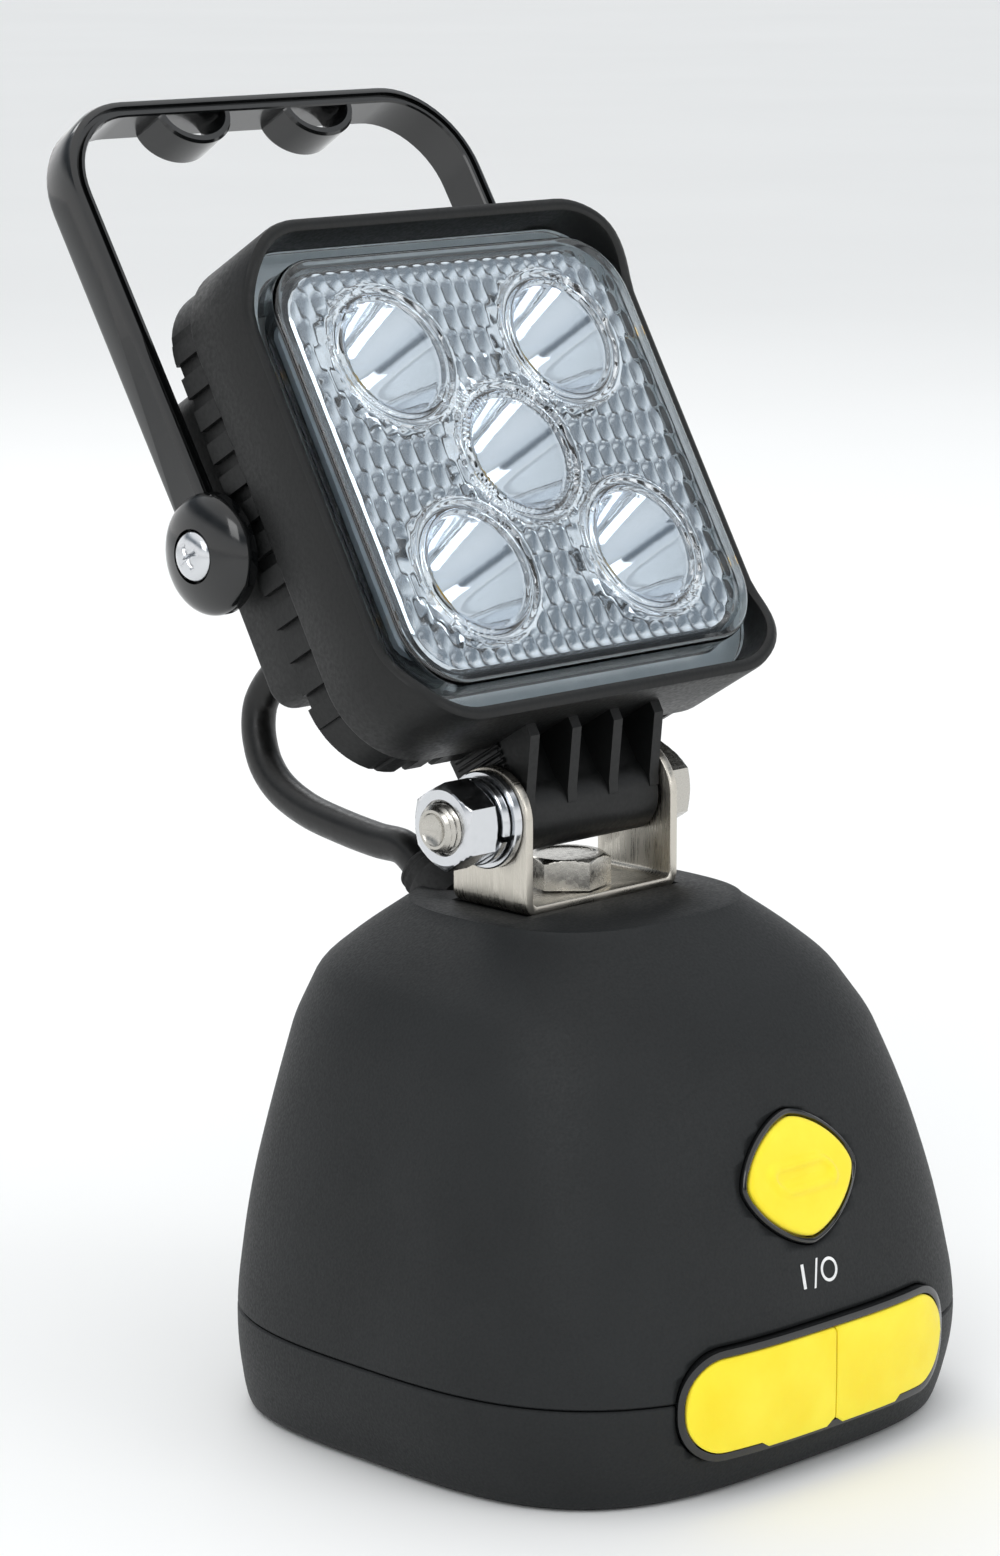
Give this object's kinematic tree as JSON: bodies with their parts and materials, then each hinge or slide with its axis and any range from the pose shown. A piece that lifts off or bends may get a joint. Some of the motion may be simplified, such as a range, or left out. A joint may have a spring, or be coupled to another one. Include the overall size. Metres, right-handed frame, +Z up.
{
  "type": "rechargeable work light",
  "caption": "Portable work light: a square lamp head with a carry handle tilts in a steel bracket on a rounded battery base with a button, charge covers and magnets.",
  "frame": {"origin": "centre of the base's underside, on the surface that the light stands on", "axes": "+Z up, the button and charge covers face -Y, the tilt bolt lies along X with its nut at -X"},
  "size_m": [0.1362, 0.1783, 0.2654],
  "materials": {
    "base_plastic": "fine-grained moulded ABS",
    "cast_housing": "black powder coat on die-cast aluminium",
    "gloss_black_plastic": "glossy moulded nylon",
    "black_rubber": "moulded rubber",
    "cable_jacket": "extruded PVC",
    "yellow_silicone": "moulded silicone",
    "stainless_steel": "brushed stainless steel",
    "bright_steel": "bright zinc plate",
    "clear_lens": "clear polycarbonate",
    "chromed_reflector": "vacuum metallised plastic",
    "led_board": "white solder mask on aluminium",
    "circuit_board": "green solder mask",
    "led_phosphor": "phosphor in clear silicone",
    "battery_sleeve": "printed shrink sleeve over a steel can",
    "nickel_magnet": "nickel-plated steel pot"
  },
  "bodies": {
    "base": {"base_shell": "base_plastic", "base_tray": "base_plastic", "tray_screw_1": "bright_steel", "tray_screw_2": "bright_steel", "tray_screw_3": "bright_steel", "tray_screw_4": "bright_steel", "magnet_1": "nickel_magnet", "magnet_2": "nickel_magnet", "magnet_3": "nickel_magnet", "magnet_4": "nickel_magnet", "battery_cell_1": "battery_sleeve", "battery_cell_2": "battery_sleeve", "battery_cell_3": "battery_sleeve", "battery_cell_4": "battery_sleeve", "cell_holder": "gloss_black_plastic", "control_board": "circuit_board", "power_switch": "gloss_black_plastic", "charge_socket": "gloss_black_plastic", "usb_socket": "gloss_black_plastic", "button_bezel": "gloss_black_plastic", "port_bezel": "gloss_black_plastic", "base_cable_gland": "black_rubber", "bracket": "stainless_steel", "base_bolt": "stainless_steel", "base_washer": "bright_steel", "base_nut": "bright_steel", "pivot_bolt": "stainless_steel", "pivot_nut": "bright_steel", "pivot_washer_flat": "bright_steel", "pivot_washer_spring": "bright_steel", "lamp_cable": "cable_jacket"},
    "head": {"head_housing": "cast_housing", "lens": "clear_lens", "lens_seal": "black_rubber", "reflector_plate": "chromed_reflector", "led_board": "led_board", "led_driver": "circuit_board", "head_cable_gland": "gloss_black_plastic", "handle_bush_left": "black_rubber", "handle_bush_right": "black_rubber", "handle_screw_left": "bright_steel", "handle_screw_right": "bright_steel", "led_emitter_1": "led_phosphor", "led_emitter_2": "led_phosphor", "led_emitter_3": "led_phosphor", "led_emitter_4": "led_phosphor", "led_emitter_5": "led_phosphor"},
    "handle": {"handle": "gloss_black_plastic"},
    "power_button": {"power_button": "yellow_silicone"},
    "charge_flap": {"charge_flap": "yellow_silicone"},
    "usb_flap": {"usb_flap": "yellow_silicone"}
  },
  "joints": [
    {"name": "head_tilt", "type": "hinge", "parent": "base", "child": "head", "pos_m": [0, 0.0077, 0.125], "axis": [-1, 0, 0], "range_deg": [-40, 50], "deforming": ["lamp_cable"]},
    {"name": "handle_swing", "type": "hinge", "parent": "head", "child": "handle", "pos_m": [0, 0.05263, 0.17763], "axis": [-1, 0, 0], "range_deg": [0, 90]},
    {"name": "button_press", "type": "slide", "parent": "base", "child": "power_button", "axis": [0, 0.9546, -0.298], "range_m": [0, 0.0012], "stiffness_N_per_m": 1200, "springref_m": -0.0008},
    {"name": "charge_flap_open", "type": "hinge", "parent": "base", "child": "charge_flap", "pos_m": [0.0012, -0.06721, 0.0203], "axis": [0, 0, 1], "range_deg": [0, 85]},
    {"name": "usb_flap_open", "type": "hinge", "parent": "base", "child": "usb_flap", "pos_m": [0.0018, -0.06721, 0.0203], "axis": [0, 0, -1], "range_deg": [0, 85]}
  ]
}
